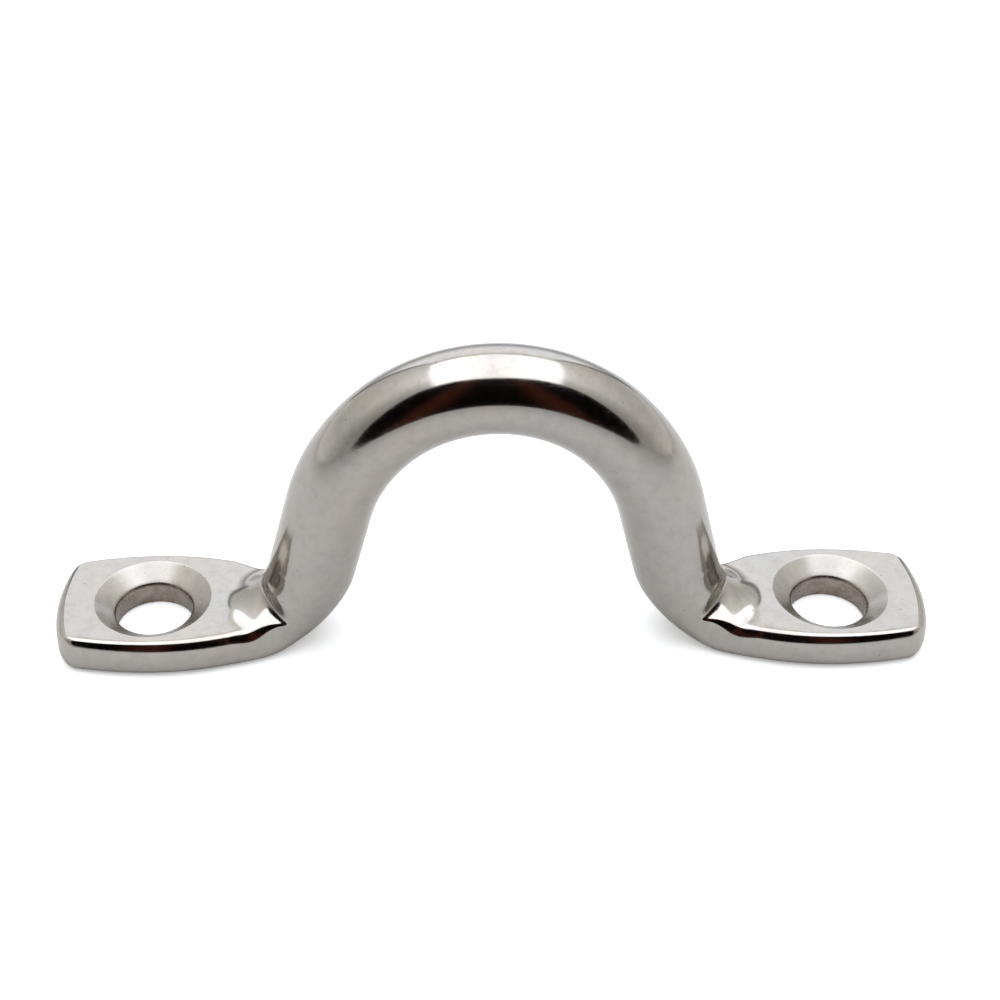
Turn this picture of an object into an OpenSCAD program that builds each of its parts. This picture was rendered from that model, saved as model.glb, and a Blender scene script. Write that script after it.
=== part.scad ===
// Pad eye: one round bar bent into a bow, with both ends pressed flat into screw feet.
// X runs from foot to foot, Y through the eye, Z up from the mounting plane at Z = 0.

/* [Bar] */
// Diameter of the round bar
bar_d = 6; // [4:0.5:12]

/* [Bow] */
// Centreline radius over the crown
crown_r = 11; // [7:0.5:25]
// Angle of the crown arc on each side of the top
crown_angle = 44; // [20:1:60]
// Centreline radius of the shoulders
shoulder_r = 13.6; // [8:0.1:30]
// Slope of the straight legs from the mounting plane
leg_angle = 75.5; // [62:0.5:86]
// Length of each straight leg
leg_l = 5.1; // [1:0.1:20]
// Radius of the underside where a leg runs into its foot
heel_r = 6.9; // [3:0.1:15]

/* [Foot] */
// Thickness of each foot
foot_t = 2.7; // [2.4:0.1:3.4]
// Widest point of each foot
foot_w = 10.5; // [9.5:0.1:14]
// Distance from the middle of the part to the end of a foot
foot_end = 30.8; // [30:0.1:36]
// Distance from the middle of the part to the widest point of a foot
foot_mid = 24.9; // [23:0.1:26]
// Where the flat top of a foot begins
flat_x = 19.2; // [17:0.1:22]
// Radius of the bowed sides
side_r = 22; // [12:0.5:60]
// Radius of the bowed end
end_r = 13.5; // [8:0.5:40]
// Plan radius of the end corners
corner_r = 1; // [0.6:0.1:2]
// Width of the rounding along the top edge
top_across = 0.65; // [0.3:0.05:1]
// Height of the rounding along the top edge
top_tall = 1.3; // [0.5:0.05:1.3]
// Rounding of the top edge at the outer end
tip_r = 0.7; // [0.3:0.05:1]
// Rounding along the bottom edge
low_r = 0.75; // [0.3:0.05:1]

/* [Neck] */
// Slope at which the neck meets the flat of the foot
fan_angle = 9; // [0:1:15]
// Depth of the dip in the edge beside the neck
crease_dip = 0.2; // [0:0.05:0.4]

/* [Screw holes] */
// Distance between the two hole centres
hole_spacing = 48.2; // [44:0.1:56]
// Diameter of the through hole
hole_d = 5.4; // [3:0.1:6]
// Diameter of the countersink at the top face
csk_d = 8.2; // [5:0.1:9]
// Depth of the countersink
csk_depth = 1; // [0.5:0.1:1.6]

/* [Hidden] */
$fn = 96;
hair = 0.01;
lap = 1.2;
bar_r = bar_d / 2;
hole_x = hole_spacing / 2;
mid_z = 0.45 * foot_t;
quarter_n = 8;
neck_n = 24;
plate_n = 10;
tip_n = 6;
loop_n = 4 * quarter_n;
// Shares of a quarter section that lie on its side and in its rounded corner
side_share = 0.12;
corner_share = 0.5;
// Radius of the crease where it starts beside the leg, and its least height above the side
crease_r = 0.12;
crease_gap = 0.25;
// Where along the neck the dip lies and how far it spreads
dip_place = 0.73;
dip_spread = 0.13;
// Power of the hump over the neck: a round arch at the leg, a wedge, then a bell at the foot
arch = 0.5;
wedge = 1.25;
bell = 2.2;
// Softness where one height or width takes over from another
soft_height = 0.02;
soft_width = 0.06;

// Leg direction (down and outward) and the direction square to it (up and outward)
along = [cos(leg_angle), -sin(leg_angle)];
outward = [sin(leg_angle), cos(leg_angle)];

// Centreline of the bow, measured from its own top at [0, 0]
shoulder_c = (crown_r - shoulder_r) * [sin(crown_angle), cos(crown_angle)] - [0, crown_r];
leg_start = shoulder_c + shoulder_r * outward;
leg_stop = leg_start + leg_l * along;

// Lift that brings the underside of the heel down onto the mounting plane
heel_lift = heel_r * (1 - cos(leg_angle));
crown_z = heel_lift - (leg_stop - bar_r * outward)[1];
leg_end = leg_stop + [0, crown_z];
low_start = leg_end - bar_r * outward;
up_start = leg_end + bar_r * outward;
heel_c = [low_start[0] + heel_r * sin(leg_angle), heel_r];

// Radius of the top side where the leg sinks into the flat of the foot
slope = 1 / tan(leg_angle);
fan_run = flat_x - up_start[0] - (up_start[1] - foot_t) * slope;
fan_rise = (cos(fan_angle) - cos(leg_angle)) * slope;
fan_r = fan_run / (sin(leg_angle) - sin(fan_angle) - fan_rise);
fan_c = [flat_x, foot_t] + fan_r * [sin(fan_angle), cos(fan_angle)];
fan_start = fan_c - fan_r * outward;

function smooth(x) = let (c = min(max(x, 0), 1)) c * c * (3 - 2 * c);
function mix(a, b, t) = a + (b - a) * t;
function rising(u, from, to) = smooth((u - from) / (to - from));

// The larger of a and b, with a soft change from one to the other
function soft_max(a, b, soft) = (a + b + sqrt((a - b) * (a - b) + soft)) / 2;
function arc_length(r, angle) = r * angle * PI / 180;

// How far an edge of radius r falls back at the distance d in from the end
function fall_back(r, d) = d >= r ? 0 : r - sqrt(r * r - (r - d) * (r - d));

// Point of the underside, from the end of the leg (u = 0) to the flat (u = 1)
function low_point(u) =
    let (
        bend_l = arc_length(heel_r, leg_angle),
        d = u * (bend_l + flat_x - heel_c[0]),
        b = leg_angle * (1 - d / bend_l)
    )
    d < bend_l
        ? heel_c - heel_r * [sin(b), cos(b)]
        : [heel_c[0] + d - bend_l, 0];

// Point of the top side over the same stretch
function up_point(u) =
    let (
        line_l = norm(fan_start - up_start),
        bend_l = arc_length(fan_r, leg_angle - fan_angle),
        d = u * (line_l + bend_l),
        b = mix(leg_angle, fan_angle, (d - line_l) / bend_l)
    )
    d < line_l
        ? mix(up_start, fan_start, d / line_l)
        : fan_c - fan_r * [sin(b), cos(b)];

// Half width of the part at the distance x from the middle
function half_width(x) =
    soft_max(foot_w / 2 - (x - foot_mid) * (x - foot_mid) / (2 * side_r), bar_r, soft_width);

// Point t (0 to 1) of the side, the elliptic corner edge = [across, tall] and the top
function box_point(t, w, h, edge) =
    let (b = 90 * (t - side_share) / corner_share)
    t < side_share ? [w, (h - edge[1]) * t / side_share]
    : b <= 90 ? [w - edge[0] * (1 - cos(b)), h - edge[1] * (1 - sin(b))]
    : [(w - edge[0]) * (1 - t) / (1 - side_share - corner_share), h];

// Quarter of a section, from an ellipse (square = 0) to a box with a hump = [height, power]
function quarter(w, h, edge, hump, square, spread) =
    [for (j = [0:quarter_n])
        let (
            t = j / quarter_n,
            box = box_point(t, w, h - hump[0], edge),
            swell = hump[0] * pow(max(1 - pow(box[0] / w, 2), 0), hump[1]),
            raised = box[1] * (1 + swell / (h - hump[0])),
            angle = mix(90 * t, max(acos(min(box[0] / w, 1)), 5 * t), spread)
        )
        mix([w * cos(angle), h * sin(angle)], [box[0], raised], square)];

// Closed section as [across, up] pairs around its widest point at the height mid
function section(upper, lower, mid) =
    [for (j = [0:loop_n - 1])
        let (
            side = floor(j / quarter_n),
            i = j - side * quarter_n,
            p = side == 0 ? upper[i]
                : side == 1 ? [-upper[quarter_n - i][0], upper[quarter_n - i][1]]
                : side == 2 ? -lower[i]
                : [lower[quarter_n - i][0], -lower[quarter_n - i][1]]
        )
        [p[0], p[1] + mid]];

// Height of the edge above the underside, beside the neck
function crease(u, mid, plate) =
    soft_max(mid + crease_gap, plate, soft_height)
    - crease_dip * exp(-pow((u - dip_place) / dip_spread, 2));

// Ring of the neck, where the round leg turns into the flat foot
function neck_ring(u) =
    let (
        low = low_point(u),
        span = up_point(u) - low,
        h = norm(span),
        dir = span / h,
        foot = smooth(u),
        mid = mix(bar_r, mid_z, foot),
        w = half_width(low[0] + dir[0] * mid),
        swell = h - crease(u, mid, (foot_t - low[1]) / dir[1]),
        power = mix(mix(arch, wedge, rising(u, 0.25, 0.42)), bell, rising(u, 0.5, 0.9)),
        edge = mix(crease_r * [1, 1], [top_across, top_tall], rising(u, 0.4, 0.93)),
        heel = mix(2 * low_r, low_r, foot) * [1, 1],
        spread = rising(u, 0, 0.25),
        upper = quarter(w, h - mid, edge, [swell, power], rising(u, 0.28, 0.48), spread),
        lower = quarter(w, mid, heel, [0, 1], rising(u, 0.1, 0.8), spread)
    )
    [for (p = section(upper, lower, mid))
        [low[0] + dir[0] * p[1] - foot * p[0] * p[0] / (2 * end_r), p[0], low[1] + dir[1] * p[1]]];

// Ring of the flat foot; inset is its distance from the outer end, up to corner_r
function foot_ring(x, inset) =
    let (
        w = half_width(x) - fall_back(corner_r, inset),
        floor_z = fall_back(low_r, inset),
        rise = foot_t - fall_back(tip_r, inset) - mid_z,
        mid = mid_z - floor_z,
        upper = quarter(w, rise, [top_across, min(top_tall, 0.98 * rise)], [0, 1], 1, 1),
        lower = quarter(w, mid, min(low_r, 0.98 * mid) * [1, 1], [0, 1], 1, 1)
    )
    [for (p = section(upper, lower, mid_z)) [x - p[0] * p[0] / (2 * end_r), p[0], p[1]]];

// Ring hidden inside the leg, so that the neck and the leg overlap
function stub_ring(back, r) =
    let (c = leg_end - back * along)
    [for (j = [0:loop_n - 1])
        let (b = 360 * j / loop_n)
        [c[0] + r * sin(b) * outward[0], r * cos(b), c[1] + r * sin(b) * outward[1]]];

foot_rings = concat(
    [stub_ring(0.5, bar_r - 0.3), stub_ring(0, bar_r - 3 * hair)],
    [for (k = [1:neck_n]) neck_ring(k / neck_n)],
    [for (k = [1:plate_n])
        foot_ring(mix(flat_x, foot_end - corner_r, k / plate_n), corner_r)],
    [for (k = [1:tip_n])
        let (inset = corner_r * (1 - sin(90 * k / tip_n)))
        foot_ring(foot_end - inset, inset)]
);

// Skin over a stack of rings, closed at both ends
module skin(rings) {
    last = len(rings) - 1;
    start = last * loop_n;
    walls = [for (k = [0:last - 1], j = [0:loop_n - 1])
        let (
            a = k * loop_n + j,
            b = k * loop_n + (j + 1) % loop_n
        )
        each [[a, b + loop_n, b], [a, a + loop_n, b + loop_n]]];
    caps = [for (j = [0:loop_n / 2 - 1])
        let (
            up = [j, j + 1],
            down = [(loop_n - j) % loop_n, loop_n - j - 1]
        )
        each concat(
            j == 0 ? [] : [[up[0], down[1], down[0]], start * [1, 1, 1] + [up[0], down[0], down[1]]],
            j == loop_n / 2 - 1 ? []
                : [[up[0], up[1], down[1]], start * [1, 1, 1] + [up[0], down[1], up[1]]]
        )];
    polyhedron(points = [for (ring = rings) each ring], faces = concat(walls, caps), convexity = 6);
}

// Bent piece of bar around [x, z], from the angle a0 to a1 above the X axis
module bend(centre, r, tube_r, a0, a1) {
    translate([centre[0], 0, centre[1]])
    rotate([90, 0, 0])
    rotate_extrude(angle = a1 - a0, start = a0)
    translate([r, 0])
    circle(r = tube_r);
}

// Each piece of the bow sits a hair inside the one before it and overlaps it by lap degrees,
// so that the pieces join without surfaces that only touch
module shoulder_and_leg() {
    shoulder_start = 90 - leg_angle;
    bend(shoulder_c + [0, crown_z], shoulder_r, bar_r - hair, shoulder_start - lap, 90 - crown_angle);
    translate([leg_end[0], 0, leg_end[1]])
    rotate([0, leg_angle - 90, 0])
    cylinder(r = bar_r - 2 * hair, h = leg_l);
}

module bow() {
    crown_start = 90 - crown_angle;
    bend([0, crown_z - crown_r], crown_r, bar_r, crown_start - lap, 180 - crown_start + lap);
    shoulder_and_leg();
    mirror([1, 0, 0]) shoulder_and_leg();
}

module screw_hole() {
    flare = (csk_d - hole_d) / csk_depth;
    translate([hole_x, 0, -1])
    cylinder(d = hole_d, h = foot_t + 2);
    translate([hole_x, 0, foot_t - csk_depth])
    cylinder(d1 = hole_d, d2 = csk_d + flare * 0.5, h = csk_depth + 0.5);
}

module foot() {
    difference() {
        skin(foot_rings);
        screw_hole();
    }
}

module pad_eye() {
    color([0.78, 0.77, 0.75])
    union() {
        bow();
        foot();
        mirror([1, 0, 0]) foot();
    }
}

pad_eye();
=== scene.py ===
"""Polished pad eye: a round bar bent into a bow, its ends pressed into screw feet."""

import math

import bmesh
import bpy
import numpy as np
from mathutils import Matrix, Vector


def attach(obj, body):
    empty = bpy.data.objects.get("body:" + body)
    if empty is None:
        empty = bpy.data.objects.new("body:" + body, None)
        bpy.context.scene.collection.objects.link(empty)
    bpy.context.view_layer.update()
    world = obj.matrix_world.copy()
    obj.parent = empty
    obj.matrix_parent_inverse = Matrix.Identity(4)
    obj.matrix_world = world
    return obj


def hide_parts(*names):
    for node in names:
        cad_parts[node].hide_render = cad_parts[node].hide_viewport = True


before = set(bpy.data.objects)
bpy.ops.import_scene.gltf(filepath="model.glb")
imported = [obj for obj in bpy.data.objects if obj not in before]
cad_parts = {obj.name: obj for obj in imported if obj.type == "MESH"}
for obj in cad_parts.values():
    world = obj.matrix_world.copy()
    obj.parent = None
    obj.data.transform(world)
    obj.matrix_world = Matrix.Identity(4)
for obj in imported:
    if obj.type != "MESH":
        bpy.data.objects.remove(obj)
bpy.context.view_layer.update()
scene = bpy.context.scene

# ---------------------------------------------------------------- sizes, in millimetres
MM = 0.001
BAR_R = 3.0
CROWN_R = 11.0  # of the bar's middle line, over CROWN_ANGLE each way from the top
CROWN_ANGLE = math.radians(44)
SHOULDER_R = 13.6  # from there until the bar points LEG_ANGLE downward
LEG_ANGLE = math.radians(75.5)
LEG_L = 5.1  # straight part of a leg
CROWN_L, SHOULDER_L = CROWN_R * CROWN_ANGLE, SHOULDER_R * (LEG_ANGLE - CROWN_ANGLE)
HEEL_R = 6.9  # of the underside, between leg and foot
FOOT_T = 2.7
FOOT_W = 10.5  # widest, at FOOT_MID
FOOT_MID = 24.9
FOOT_END = 30.8
FLAT_X = 19.2  # where the top of the foot becomes flat
FAN_ANGLE = math.radians(9)  # slope with which the top of the neck arrives there
SIDE_R = 22.0  # bow of the sides of a foot, in plan
END_R = 13.5  # bow of its end
CORNER_R = 1.0
WIDTH_SOFT = 0.06  # mm2, softens the step from the bar's width to the foot's
TOP_ACROSS, TOP_TALL = 0.65, 1.3  # the rounded top edge is steeper than it is wide
TIP_TOP_R = 0.7
LOW_R = 0.75
LOW_R_EXTRA = 0.8  # added to it at the leg
STRAIGHT = 0.98  # largest share of a side that its rounded edge takes up
HOLE_X = 24.1
HOLE_R = 2.7
CSK_R = 4.1
CSK_DEPTH = 1.0
RIM_R, SEAT_R, EXIT_R = 0.14, 0.35, 0.15  # broken edges of a hole, from the top down

# ---------------------------------------------------------------- the neck, from leg to foot
CREASE_R = 0.12  # at the leg; it opens into the foot's top edge
CREASE_GAP = 0.25  # least height of the crease above the widest line
CREASE_SOFT = 0.02  # mm2, softens the turn where it starts to follow the foot's top
CREASE_DIP = 0.2
DIP_AT, DIP_SPREAD = 0.73, 0.13
ARCH, WEDGE, BELL = 0.5, 1.25, 2.2  # power of the hump
# where each change starts on the way from leg to foot, and how long it takes
TO_WEDGE, TO_BELL = (0.25, 0.17), (0.5, 0.4)
EDGE_OPENS = 0.4, 0.53
TOP_SQUARES, LOW_SQUARES = (0.28, 0.2), (0.1, 0.7)
POINTS_SLIDE = 0.0, 0.25

# ---------------------------------------------------------------- mesh density
QUARTER = 40  # points in a quarter of a section
SIDE_N = 4  # of them on the straight side
CORNER_N = 20  # where the rounded corner ends and the flat begins
LOOP = 4 * QUARTER
BOW_N, NECK_N, PLATE_N, TIP_N = 84, 64, 40, 14  # rings along half the bar
LEAST_TURN = 0.06  # share of a point's turn that it keeps when the points slide
PATCH_STEPS = 4  # rings of faces between the square patch and the hole's rim
HOLE_STEP = 0.35  # longest face down the hole, in millimetres
MID_Z = 0.45 * FOOT_T  # height of the foot's widest line


def smooth(x):
    x = np.clip(x, 0.0, 1.0)
    return x * x * (3 - 2 * x)


def rising(u, stretch):
    """From 0 to 1 over the stretch, given as its start and its length."""
    start, length = stretch
    return smooth((u - start) / length)


def mix(a, b, t):
    return a + (b - a) * t


def fall_back(r, inset):
    """How far an edge of radius r lies back at that distance in from the end."""
    return 0.0 if inset >= r else r - math.sqrt(r * r - (r - inset) ** 2)


# ---------------------------------------------------------------- the line of the bar
# points are (x, z); the right half is worked out and the left one mirrors it
ALONG = np.array([math.cos(LEG_ANGLE), -math.sin(LEG_ANGLE)])
OUTWARD = np.array([math.sin(LEG_ANGLE), math.cos(LEG_ANGLE)])
crown_dir = np.array([math.sin(CROWN_ANGLE), math.cos(CROWN_ANGLE)])
shoulder_c = (CROWN_R - SHOULDER_R) * crown_dir - [0, CROWN_R]
leg_stop = shoulder_c + SHOULDER_R * OUTWARD + LEG_L * ALONG
CROWN_Z = HEEL_R * (1 - math.cos(LEG_ANGLE)) - (leg_stop - BAR_R * OUTWARD)[1]
shoulder_c = shoulder_c + [0, CROWN_Z]
LEG_END = leg_stop + [0, CROWN_Z]
LOW_START = LEG_END - BAR_R * OUTWARD
UP_START = LEG_END + BAR_R * OUTWARD
HEEL_X = LOW_START[0] + HEEL_R * math.sin(LEG_ANGLE)
slope = 1 / math.tan(LEG_ANGLE)
# the top of the neck: a straight line and an arc of FAN_R that arrives at (FLAT_X, FOOT_T)
fan_run = FLAT_X - UP_START[0] - (UP_START[1] - FOOT_T) * slope
fan_rise = (math.cos(FAN_ANGLE) - math.cos(LEG_ANGLE)) * slope
FAN_R = fan_run / (math.sin(LEG_ANGLE) - math.sin(FAN_ANGLE) - fan_rise)
FAN_C = np.array([FLAT_X + FAN_R * math.sin(FAN_ANGLE), FOOT_T + FAN_R * math.cos(FAN_ANGLE)])
FAN_START = FAN_C - FAN_R * OUTWARD


def low_point(u):
    """Point of the underside from the leg's end (u = 0) to the flat of the foot (u = 1)."""
    bend = HEEL_R * LEG_ANGLE
    d = u * (bend + FLAT_X - HEEL_X)
    if d >= bend:
        return np.array([HEEL_X + d - bend, 0.0])
    b = LEG_ANGLE - d / HEEL_R
    return np.array([HEEL_X - HEEL_R * math.sin(b), HEEL_R - HEEL_R * math.cos(b)])


def up_point(u):
    """Point of the top side over the same stretch."""
    line = np.linalg.norm(FAN_START - UP_START)
    d = u * (line + FAN_R * (LEG_ANGLE - FAN_ANGLE))
    if d < line:
        return mix(UP_START, FAN_START, d / line)
    b = LEG_ANGLE - (d - line) / FAN_R
    return FAN_C - FAN_R * np.array([math.sin(b), math.cos(b)])


def half_width(x):
    """Half the width at x: the larger of the bar's and the barrel-shaped foot's."""
    w = FOOT_W / 2 - (x - FOOT_MID) ** 2 / (2 * SIDE_R)
    return (w + BAR_R + math.sqrt((w - BAR_R) ** 2 + WIDTH_SOFT)) / 2


# ---------------------------------------------------------------- sections
def box_quarter(w, h, across, tall):
    """Side, elliptic corner and flat of a quarter section, QUARTER + 1 points."""
    side = [(w, (h - tall) * j / SIDE_N) for j in range(SIDE_N)]
    turns = np.linspace(0, math.pi / 2, CORNER_N - SIDE_N + 1)
    corner = [(w - across + across * math.cos(b), h - tall + tall * math.sin(b)) for b in turns]
    rest = QUARTER - CORNER_N
    flat = [((w - across) * (1 - j / rest), h) for j in range(1, rest + 1)]
    return np.array(side + corner + flat)


def blend_quarter(box, w, h, square, spread):
    """Quarter between an ellipse (square = 0) and the box (square = 1).

    As spread goes from 0 to 1, the points slide along the ellipse to above those of the box.
    """
    turn = np.linspace(0, math.pi / 2, QUARTER + 1)
    box_turn = np.maximum(np.arccos(np.clip(box[:, 0] / w, 0, 1)), LEAST_TURN * turn)
    angle = mix(turn, box_turn, spread)
    return mix(np.stack([w * np.cos(angle), h * np.sin(angle)], -1), box, square)


def section(w, h, mid, hump, top_edge, low_r, up_sq, down_sq, spread):
    """Closed section as (across, up) pairs, from its widest point over the top and round.

    The hump is (height, power): an arch at the power 0.5, a bell with hollow sides at 2 or more.
    The squares and the spread are those of blend_quarter, above and below the widest line.
    """
    swell, power = hump
    box = box_quarter(w, h - mid - swell, *top_edge)
    bell = np.maximum(1 - (box[:, 0] / w) ** 2, 0) ** power
    box[:, 1] += swell * bell * box[:, 1] / (h - mid - swell)
    upper = blend_quarter(box, w, h - mid, up_sq, spread)
    lower = blend_quarter(box_quarter(w, mid, low_r, low_r), w, mid, down_sq, spread)
    quarters = [
        upper[:-1],
        (upper[::-1] * [-1, 1])[:-1],
        (lower * [-1, -1])[:-1],
        (lower[::-1] * [1, -1])[:-1],
    ]
    return np.concatenate(quarters) + [0, mid]


def neck_ring(u):
    """Section of the neck, from the leg (u = 0) to the flat of the foot (u = 1)."""
    low, up = low_point(u), up_point(u)
    h = np.linalg.norm(up - low)
    rise = (up - low) / h
    foot = smooth(u)
    mid = mix(BAR_R, MID_Z, foot)
    w = half_width(low[0] + rise[0] * mid)
    gap = mid + CREASE_GAP - (FOOT_T - low[1]) / rise[1]
    crease = mid + CREASE_GAP + (math.sqrt(gap**2 + CREASE_SOFT) - gap) / 2
    crease -= CREASE_DIP * math.exp(-(((u - DIP_AT) / DIP_SPREAD) ** 2))
    power = mix(mix(ARCH, WEDGE, rising(u, TO_WEDGE)), BELL, rising(u, TO_BELL))
    edge = [mix(CREASE_R, r, rising(u, EDGE_OPENS)) for r in (TOP_ACROSS, TOP_TALL)]
    low_r = LOW_R + LOW_R_EXTRA * (1 - foot)
    shape = rising(u, TOP_SQUARES), rising(u, LOW_SQUARES), rising(u, POINTS_SLIDE)
    pts = section(w, h, mid, (h - crease, power), edge, low_r, *shape)
    x = low[0] + rise[0] * pts[:, 1] - foot * pts[:, 0] ** 2 / (2 * END_R)
    return np.stack([x, pts[:, 0], low[1] + rise[1] * pts[:, 1]], -1)


def foot_ring(x, inset):
    """Section of the foot, whose middle is at x; near the end the inset rounds it off."""
    w = half_width(x) - fall_back(CORNER_R, inset)
    floor_z = fall_back(LOW_R, inset)
    h = FOOT_T - fall_back(TIP_TOP_R, inset) - floor_z
    mid = MID_Z - floor_z
    edge = TOP_ACROSS, min(TOP_TALL, STRAIGHT * (h - mid))
    pts = section(w, h, mid, (0, 1), edge, min(LOW_R, STRAIGHT * mid), 1, 1, 1)
    return np.stack([x - pts[:, 0] ** 2 / (2 * END_R), pts[:, 0], pts[:, 1] + floor_z], -1)


def bow_ring(d):
    """Round section at the distance d along the bar from the top of the crown, to the right."""
    if d < CROWN_L:
        b = d / CROWN_R
        centre = np.array([0, CROWN_Z - CROWN_R]) + CROWN_R * np.array([math.sin(b), math.cos(b)])
    elif d < CROWN_L + SHOULDER_L:
        b = CROWN_ANGLE + (d - CROWN_L) / SHOULDER_R
        centre = shoulder_c + SHOULDER_R * np.array([math.sin(b), math.cos(b)])
    else:
        b = LEG_ANGLE
        centre = LEG_END - ALONG * (CROWN_L + SHOULDER_L + LEG_L - d)
    turn = np.linspace(0, 2 * math.pi, LOOP, endpoint=False)
    out = BAR_R * np.sin(turn)
    return np.stack(
        [centre[0] + out * math.sin(b), BAR_R * np.cos(turn), centre[1] + out * math.cos(b)], -1
    )


# ---------------------------------------------------------------- skin
bow_l = CROWN_L + SHOULDER_L + LEG_L
half = [bow_ring(bow_l * k / BOW_N) for k in range(BOW_N + 1)]
half += [neck_ring(k / NECK_N) for k in range(1, NECK_N + 1)]
plate_end = FOOT_END - CORNER_R
for k in range(1, PLATE_N + 1):
    half.append(foot_ring(mix(FLAT_X, plate_end, k / PLATE_N), CORNER_R))
for k in range(1, TIP_N + 1):
    inset = CORNER_R * (1 - math.sin(math.pi / 2 * k / TIP_N))
    half.append(foot_ring(FOOT_END - inset, inset))
rings = [ring * [-1, 1, 1] for ring in half[:0:-1]] + half
LAST = len(rings) - 1


def corner_arc(before, corner, after, r, n):
    """Points of a small arc of radius r that rounds the corner of a profile."""
    before, corner, after = (np.array(p, float) for p in (before, corner, after))
    a = (before - corner) / np.linalg.norm(before - corner)
    b = (after - corner) / np.linalg.norm(after - corner)
    half_turn = math.acos(np.clip(a @ b, -1, 1)) / 2
    centre = corner + (a + b) / np.linalg.norm(a + b) * r / math.sin(half_turn)
    start, stop = corner + a * r / math.tan(half_turn), corner + b * r / math.tan(half_turn)
    turns = np.linspace(0, 1, n)
    dirs = [mix(start - centre, stop - centre, t) for t in turns]
    return [centre + d / np.linalg.norm(d) * r for d in dirs]


def hole_profile():
    """(radius, height) down the countersink and the hole, every edge slightly broken."""
    a, b = (CSK_R + 1, FOOT_T), (CSK_R, FOOT_T)
    c, d, e = (HOLE_R, FOOT_T - CSK_DEPTH), (HOLE_R, 0), (HOLE_R + 1, 0)
    pts = corner_arc(a, b, c, RIM_R, 6) + corner_arc(b, c, d, SEAT_R, 7)
    pts += corner_arc(c, d, e, EXIT_R, 5)
    out = [pts[0]]
    for p in pts[1:]:
        gap = np.linalg.norm(p - out[-1])
        steps = max(1, math.ceil(gap / HOLE_STEP))
        out += [mix(out[-1], p, t) for t in np.linspace(0, 1, steps + 1)[1:]]
    return out


def skin():
    """Vertices and faces of the whole bar, with the two holes worked into the feet."""
    verts = [p for ring in rings for p in ring]
    faces = []
    # first and last ring of the patch that each hole replaces, and the patch's points in a ring
    near, far = TIP_N + 1, TIP_N + PLATE_N
    spans = {HOLE_X: (LAST - far, LAST - near), -HOLE_X: (near, far)}
    top = (CORNER_N, 2 * QUARTER - CORNER_N)
    low = (2 * QUARTER + CORNER_N, 4 * QUARTER - CORNER_N)

    def in_patch(k, j):
        in_span = any(a <= k < b for a, b in spans.values())
        return in_span and (top[0] <= j < top[1] or low[0] <= j < low[1])

    for k in range(LAST):
        for j in range(LOOP):
            if not in_patch(k, j):
                n = (j + 1) % LOOP
                a, b = k * LOOP, (k + 1) * LOOP
                faces.append((a + j, a + n, b + n, b + j))

    def edge_loop(k0, k1, j0, j1):
        """Vertices around a patch of the grid."""
        step = 1 if j1 > j0 else -1
        path = [(k, j0) for k in range(k0, k1)] + [(k1, j) for j in range(j0, j1, step)]
        path += [(k, j1) for k in range(k1, k0, -1)] + [(k0, j) for j in range(j1, j0, -step)]
        return [k * LOOP + j for k, j in path]

    def bridge(a, b):
        """Faces between two loops with the same number of points."""
        n = len(a)
        for i in range(n):
            faces.append((a[i], a[(i + 1) % n], b[(i + 1) % n], b[i]))

    for cx, (k0, k1) in spans.items():
        upper = edge_loop(k0, k1, *top)
        lower = edge_loop(k0, k1, low[1], low[0])
        turn = [math.atan2(verts[i][1], verts[i][0] - cx) for i in upper]
        profile = hole_profile()

        def ring_at(r, z):
            base = len(verts)
            verts.extend(np.array([cx + r * math.cos(t), r * math.sin(t), z]) for t in turn)
            return list(range(base, base + len(turn)))

        def fan_out(edge, r, z):
            """Loops between the edge of the patch and the circle of radius r."""
            loops = [edge]
            goal = [np.array([cx + r * math.cos(t), r * math.sin(t), z]) for t in turn]
            for s in range(1, PATCH_STEPS):
                base = len(verts)
                verts.extend(mix(verts[e], g, s / PATCH_STEPS) for e, g in zip(edge, goal))
                loops.append(list(range(base, base + len(edge))))
            return loops

        down = fan_out(upper, *profile[0])
        down += [ring_at(r, z) for r, z in profile]
        down += fan_out(lower, *profile[-1])[::-1]
        for a, b in zip(down[:-1], down[1:]):
            bridge(a, b)

    # the two ends are closed with strips across the ring
    for base, flip in ((0, False), (LAST * LOOP, True)):
        for j in range(2 * QUARTER):
            quad = [base + j, base + (j + 1), base + LOOP - j - 1, base + (LOOP - j) % LOOP]
            quad = list(dict.fromkeys(quad))
            if len(quad) > 2:
                faces.append(tuple(quad[::-1] if not flip else quad))
    return verts, faces


def make_piece():
    """The skin as a smooth-shaded object, in metres."""
    verts, faces = skin()
    mesh = bpy.data.meshes.new("pad_eye_metal")
    mesh.from_pydata([tuple(float(c) * MM for c in p) for p in verts], [], faces)
    shell = bmesh.new()
    shell.from_mesh(mesh)
    bmesh.ops.recalc_face_normals(shell, faces=shell.faces)
    shell.to_mesh(mesh)
    shell.free()
    mesh.polygons.foreach_set("use_smooth", [True] * len(mesh.polygons))
    piece = bpy.data.objects.new("pad_eye_metal", mesh)
    scene.collection.objects.link(piece)
    return piece


# ---------------------------------------------------------------- material
def add(tree, kind, inputs, **settings):
    """A node of that kind, with its inputs by socket name or number: a value or another socket."""
    made = tree.nodes.new("ShaderNode" + kind)
    for name, value in settings.items():
        setattr(made, name, value)
    for name, value in inputs.items():
        if isinstance(value, bpy.types.NodeSocket):
            tree.links.new(value, made.inputs[name])
        else:
            made.inputs[name].default_value = value
    return made


def sums(tree, operation, a, b=0.0, c=0.0):
    """Result of one math node."""
    return add(tree, "Math", {0: a, 1: b, 2: c}, operation=operation).outputs[0]


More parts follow.
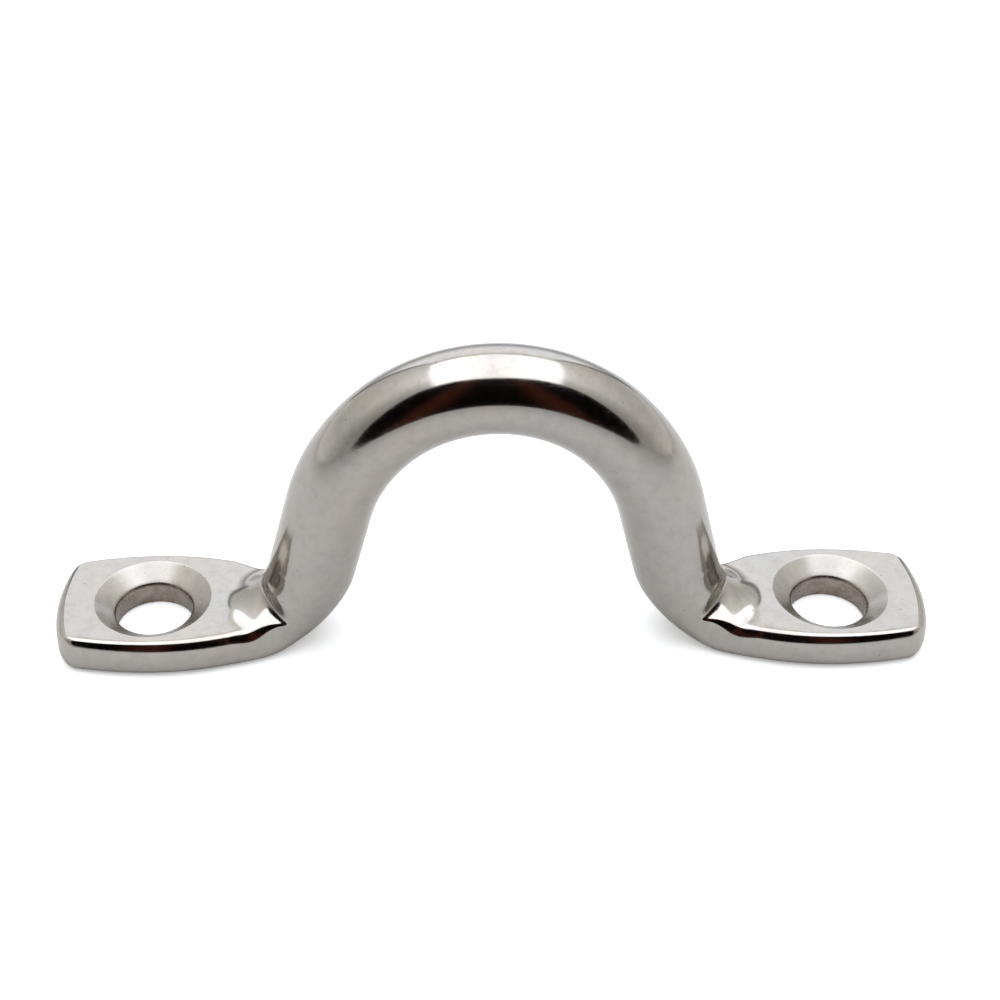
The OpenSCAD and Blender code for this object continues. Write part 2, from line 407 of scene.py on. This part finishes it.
def tinted(tree, colour, by, share=1.0):
    """The colour multiplied by another, as far as the share goes."""
    inputs = {0: share, 6: colour, 7: by}
    return add(tree, "Mix", inputs, data_type="RGBA", blend_type="MULTIPLY").outputs[2]


def inside(tree, value, outer, inner):
    """From 0 at the outer value to 1 at the inner one."""
    inputs = {"Value": value, "From Min": outer, "From Max": inner, "To Min": 0.0, "To Max": 1.0}
    return add(tree, "MapRange", inputs).outputs[0]


def ramp(tree, value, stops):
    """Colour ramp through (place, grey or colour) stops."""
    made = add(tree, "ValToRGB", {"Fac": value})
    marks = made.color_ramp.elements
    while len(marks) < len(stops):
        marks.new(1.0)
    for mark, (place, colour) in zip(marks, stops):
        mark.position = place
        mark.color = (*colour, 1) if isinstance(colour, tuple) else (colour, colour, colour, 1)
    return made.outputs["Color"]


def noise(tree, where, scale, detail=2.0, rough=0.5, warp=0.0):
    """Noise with that many waves to the millimetre, where being in millimetres."""
    inputs = {"Vector": where, "Scale": scale, "Detail": detail}
    inputs |= {"Roughness": rough, "Distortion": warp}
    return add(tree, "TexNoise", inputs).outputs["Fac"]


def steel_material():
    """Tumbled and buffed stainless steel, with turned countersinks."""
    mat = bpy.data.materials.new("polished_steel")
    mat.use_nodes = True
    tree = mat.node_tree
    shader = tree.nodes["Principled BSDF"]
    place = add(tree, "TexCoord", {}).outputs["Object"]
    where = add(tree, "VectorMath", {0: place, "Scale": 1 / MM}, operation="SCALE").outputs[0]
    axes = add(tree, "SeparateXYZ", {0: where}).outputs

    # distance from the axis of the nearer hole, and 1 within its countersink
    aside = sums(tree, "SUBTRACT", sums(tree, "ABSOLUTE", axes["X"]), HOLE_X)
    squares = sums(tree, "MULTIPLY_ADD", axes["Y"], axes["Y"], sums(tree, "MULTIPLY", aside, aside))
    reach = sums(tree, "SQRT", squares)
    bored = inside(tree, reach, CSK_R + 0.12, CSK_R - 0.02)

    # colour: cooler and warmer clouds, a finer mottle, and a few dark pin holes
    clouds = noise(tree, where, 0.22, 3.0, 0.6, 0.4)
    mottle = noise(tree, where, 1.3, 4.0, 0.65)
    cool, plain, warm = (0.405, 0.389, 0.366), (0.42, 0.393, 0.36), (0.43, 0.393, 0.352)
    tint = ramp(tree, clouds, [(0.36, cool), (0.5, plain), (0.66, warm)])
    shade = ramp(tree, mottle, [(0.3, 0.9), (0.52, 1.0), (0.75, 1.04)])
    pits = ramp(tree, noise(tree, where, 2.1, 1.0), [(0.20, 0.7), (0.25, 1.0)])
    colour = tinted(tree, tinted(tree, tint, shade), pits)

    # painted shade: the colour of the bore is darkened towards brown, in noisy patches, for the
    # shade that falls inside it
    drilled = inside(tree, reach, HOLE_R + 0.25, HOLE_R + 0.02)
    dull, fair = (0.6, 0.52, 0.46), (0.86, 0.81, 0.76)
    painted_bore_shade = ramp(tree, noise(tree, where, 1.1, 3.0, 0.7), [(0.35, dull), (0.6, fair)])
    colour = tinted(tree, colour, painted_bore_shade, drilled)
    tree.links.new(colour, shader.inputs["Base Color"])

    # fine scratches left by the tumbling, in three directions
    scratches = 0.0
    for turn, tilt in ((0.4, 0.2), (1.5, -0.5), (2.5, 0.9)):
        stretch = {"Vector": where, "Rotation": (tilt, turn, turn), "Scale": (0.12, 5.0, 5.0)}
        drawn = add(tree, "Mapping", stretch).outputs[0]
        line = ramp(tree, noise(tree, drawn, 0.8, 2.0), [(0.64, 0.0), (0.72, 1.0)])
        scratches = sums(tree, "ADD", line, scratches)

    # turning marks of the countersink run round it
    depth = sums(tree, "MULTIPLY", axes["Z"], 9.0)
    turned = sums(tree, "SINE", sums(tree, "MULTIPLY_ADD", reach, 15.0, depth))
    marks = sums(tree, "MULTIPLY", turned, bored)

    # roughness: least where the mottle is darkest, most in the countersinks
    rough = sums(tree, "MULTIPLY_ADD", mottle, 0.07, 0.08)
    rough = sums(tree, "MULTIPLY_ADD", scratches, 0.05, rough)
    rough = sums(tree, "MULTIPLY_ADD", bored, 0.16, rough)
    tree.links.new(rough, shader.inputs["Roughness"])

    # relief: slow ripples, the mottle, the scratches and the turning marks, in microns
    ripple = sums(tree, "MULTIPLY", noise(tree, where, 0.55, 1.5, 0.5), 7.0)
    grain = sums(tree, "MULTIPLY_ADD", mottle, 0.8, ripple)
    grain = sums(tree, "MULTIPLY_ADD", scratches, -0.25, grain)
    grain = sums(tree, "MULTIPLY_ADD", marks, 0.05, grain)
    bump = add(tree, "Bump", {"Height": grain, "Distance": 0.001 * MM, "Strength": 1.0})
    tree.links.new(bump.outputs[0], shader.inputs["Normal"])
    shader.inputs["Metallic"].default_value = 1.0
    return mat


piece = make_piece()
steel = steel_material()
piece.data.materials.append(steel)
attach(piece, "root")
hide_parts("pad_eye")

# ---------------------------------------------------------------- camera
AZIMUTH, ELEVATION, ROLL = math.radians(-2.70), math.radians(37.46), math.radians(1.116)
DISTANCE = 127.8
TARGET = Vector((0.299, 0, 11.148))
SENSOR, FOCAL = 36.0, 1.87  # the focal length is in widths of the sensor

back = Vector(
    (
        math.sin(AZIMUTH) * math.cos(ELEVATION),
        -math.cos(AZIMUTH) * math.cos(ELEVATION),
        math.sin(ELEVATION),
    )
)
right = Vector((math.cos(AZIMUTH), math.sin(AZIMUTH), 0))
up = back.cross(right)
cam_x = math.cos(ROLL) * right + math.sin(ROLL) * up
cam_y = -math.sin(ROLL) * right + math.cos(ROLL) * up
camera_data = bpy.data.cameras.new("camera")
camera_data.sensor_width = SENSOR
camera_data.lens = SENSOR * FOCAL
camera_data.clip_start = 0.005
camera = bpy.data.objects.new("camera", camera_data)
camera.matrix_world = Matrix.Translation((TARGET + back * DISTANCE) * MM) @ Matrix(
    (cam_x, cam_y, back)
).transposed().to_4x4()
scene.collection.objects.link(camera)
scene.camera = camera


# ---------------------------------------------------------------- studio, in metres
def stage_mesh(name, verts, faces):
    """Stage piece of those faces, and the node tree of its material."""
    mesh = bpy.data.meshes.new(name)
    mesh.from_pydata(verts, [], faces)
    made = bpy.data.objects.new(name, mesh)
    scene.collection.objects.link(made)
    mat = bpy.data.materials.new(name)
    mat.use_nodes = True
    mesh.materials.append(mat)
    return made, mat.node_tree


def forward(tree, place):
    """How far a place or direction lies towards the front."""
    return sums(tree, "MULTIPLY", add(tree, "SeparateXYZ", {0: place}).outputs["Y"], -1.0)


def table(name, height, near, far, front=None, glow=0.0):
    """White table with painted shade in its colour: greyer away from the middle and, through the
    stops of front, forward.
    """
    reach = 30.0
    signs = ((-1, -1), (1, -1), (1, 1), (-1, 1))
    corners = [(reach * x, reach * y, height) for x, y in signs]
    made, tree = stage_mesh(name, corners, [(0, 1, 2, 3)])
    place = add(tree, "TexCoord", {}).outputs["Object"]
    away = add(tree, "VectorMath", {0: place}, operation="LENGTH").outputs["Value"]
    colour = ramp(tree, away, [(0.1, near), (0.45, far)])
    if front:
        colour = tinted(tree, colour, ramp(tree, forward(tree, place), front))
    shader = tree.nodes["Principled BSDF"]
    tree.links.new(colour, shader.inputs["Base Color"])
    shader.inputs["Roughness"].default_value = 0.9
    shader.inputs["Emission Color"].default_value = (1, 1, 1, 1)
    shader.inputs["Emission Strength"].default_value = glow
    return made


def floor():
    """The blown-out table that the camera sees, and just under it the one that lights the steel."""
    seen = table("floor", 0.0, 0.9, 0.85, glow=0.3)
    seen.visible_glossy = seen.visible_diffuse = seen.visible_shadow = False
    just_under = -0.00002
    # painted shade: the table that the steel sees is darker away from the middle and towards the
    # front, where less light falls on it
    front = [(0.015, 1.0), (0.04, 0.92), (0.08, 0.72)]
    lit = table("floor_light", just_under, 0.7, 0.6, front)
    lit.visible_camera = False


def glowing(tree, colour, strength):
    """Turns the material into plain emission."""
    glow = add(tree, "Emission", {"Color": colour, "Strength": strength})
    tree.links.new(glow.outputs[0], tree.nodes["Material Output"].inputs["Surface"])


def backdrop():
    """White wall far round the stage, which only the camera sees."""
    reach, top, sides = 2.0, 3.0, 16
    turns = [2 * math.pi * k / sides for k in range(sides)]
    verts = [(reach * math.cos(t), reach * math.sin(t), z) for z in (0.0, top) for t in turns]
    faces = [(k, (k + 1) % sides, sides + (k + 1) % sides, sides + k) for k in range(sides)]
    made, tree = stage_mesh("backdrop", verts, faces)
    made.visible_glossy = made.visible_diffuse = made.visible_shadow = False
    glowing(tree, (1, 1, 1, 1), 1.0)


def dark_flag():
    """Dark curtain round the camera, which only the steel sees, with two brown folds.

    Seen from the eye at eye_z it is a rounded square, with tighter corners below than above.
    """
    radius, eye_z, rows, columns = 0.13, 0.02, 28, 24
    low_el, high_el, spread = math.radians(-8.5), math.radians(60), math.radians(54.5)
    upper_power, lower_power = 3, 3.8
    to_the_right = math.radians(1.5)
    verts = []
    for el in np.linspace(low_el, high_el, rows + 1):
        off = (2 * el - low_el - high_el) / (high_el - low_el)
        power = upper_power if off > 0 else lower_power
        half_turn = spread * (1 - min(abs(off), 0.995) ** power) ** (1 / power)
        z = eye_z + radius * math.tan(el)
        for az in np.linspace(-half_turn, half_turn, columns + 1) + to_the_right:
            verts.append((radius * math.sin(az), -radius * math.cos(az), z))
    faces = []
    for r in range(rows):
        for c in range(columns):
            k = r * (columns + 1) + c
            faces.append((k, k + 1, k + columns + 2, k + columns + 1))
    made, tree = stage_mesh("dark_flag", verts, faces)
    made.visible_camera = made.visible_diffuse = made.visible_shadow = False
    place = add(tree, "TexCoord", {}).outputs["Object"]
    aside = sums(tree, "ABSOLUTE", add(tree, "SeparateXYZ", {0: place}).outputs["X"])
    across = sums(tree, "DIVIDE", aside, radius)
    brown = (0.06, 0.016, 0.009)
    black = (0.0015, 0.001, 0.001)
    folds = [(0.16, black), (0.29, brown), (0.37, brown), (0.5, black)]
    glowing(tree, ramp(tree, across, folds), 1.0)


def panel(name, corners, strength, across=None, stops=None, unit=None):
    """Glowing sheet of the light tent.

    Where stops are given, its strength follows them along one axis, the unit being their 1.
    """
    made, tree = stage_mesh(name, corners, [(0, 1, 2, 3)])
    made.visible_camera = made.visible_shadow = False
    if stops:
        place = add(tree, "TexCoord", {}).outputs["Object"]
        along = sums(tree, "ABSOLUTE", add(tree, "SeparateXYZ", {0: place}).outputs[across])
        level = ramp(tree, sums(tree, "DIVIDE", along, unit), stops)
        strength = sums(tree, "MULTIPLY", level, strength)
    glowing(tree, (0.97, 1.0, 1.06, 1), strength)


def light_tent():
    """Lamp overhead and bright back wall of a light tent, with a seam at each back corner."""
    side, back, top = 0.36, 0.6, 0.6
    lamp_left, lamp_front, lamp_back = -side + 0.03, -0.33, 0.47
    lamp = [(lamp_left, lamp_front), (lamp_left, lamp_back), (side, lamp_back), (side, lamp_front)]
    panel("lamp", [(x, y, top) for x, y in lamp], 2.78, "X", [(0.0, 0.84), (0.5, 1.0)], side)
    wall = [(-side, 0.0), (side, 0.0), (side, top), (-side, top)]
    fade = [(0.0, 0.31), (0.1, 0.36), (0.27, 0.66), (0.45, 1.0)]
    panel("back_wall", [(x, back, z) for x, z in wall], 1.67, "Z", fade, top)
    half_seam, flare, in_front = 0.016, 0.08, 0.01
    seam = [(-half_seam, 0.0), (flare, 0.0), (half_seam, top), (-half_seam, top)]
    for name, out in (("left_seam", -1), ("right_seam", 1)):
        panel(name, [(out * (side + x), back - in_front, z) for x, z in seam], 0.36)


def walls():
    """Pale room, brighter towards the ceiling and darker in front."""
    world = bpy.data.worlds.new("studio")
    world.use_nodes = True
    tree = world.node_tree
    toward = add(tree, "TexCoord", {}).outputs["Generated"]
    height = add(tree, "SeparateXYZ", {0: toward}).outputs["Z"]
    low_wall = [(0.0, (0.98, 0.98, 0.95)), (0.1, (0.83, 0.83, 0.8)), (0.22, (0.74, 0.74, 0.72))]
    high_wall = [(0.42, (0.8, 0.8, 0.78)), (0.7, (1.05, 1.05, 1.02)), (0.9, (1.4, 1.4, 1.4))]
    paint = ramp(tree, height, low_wall + high_wall)
    shade = ramp(tree, forward(tree, toward), [(0.05, 1.0), (0.3, 0.74), (0.52, 0.52)])
    tree.links.new(tinted(tree, paint, shade), tree.nodes["Background"].inputs["Color"])
    tree.nodes["Background"].inputs["Strength"].default_value = 1.11
    scene.world = world


floor()
backdrop()
dark_flag()
light_tent()
walls()
scene.view_settings.view_transform = "Standard"
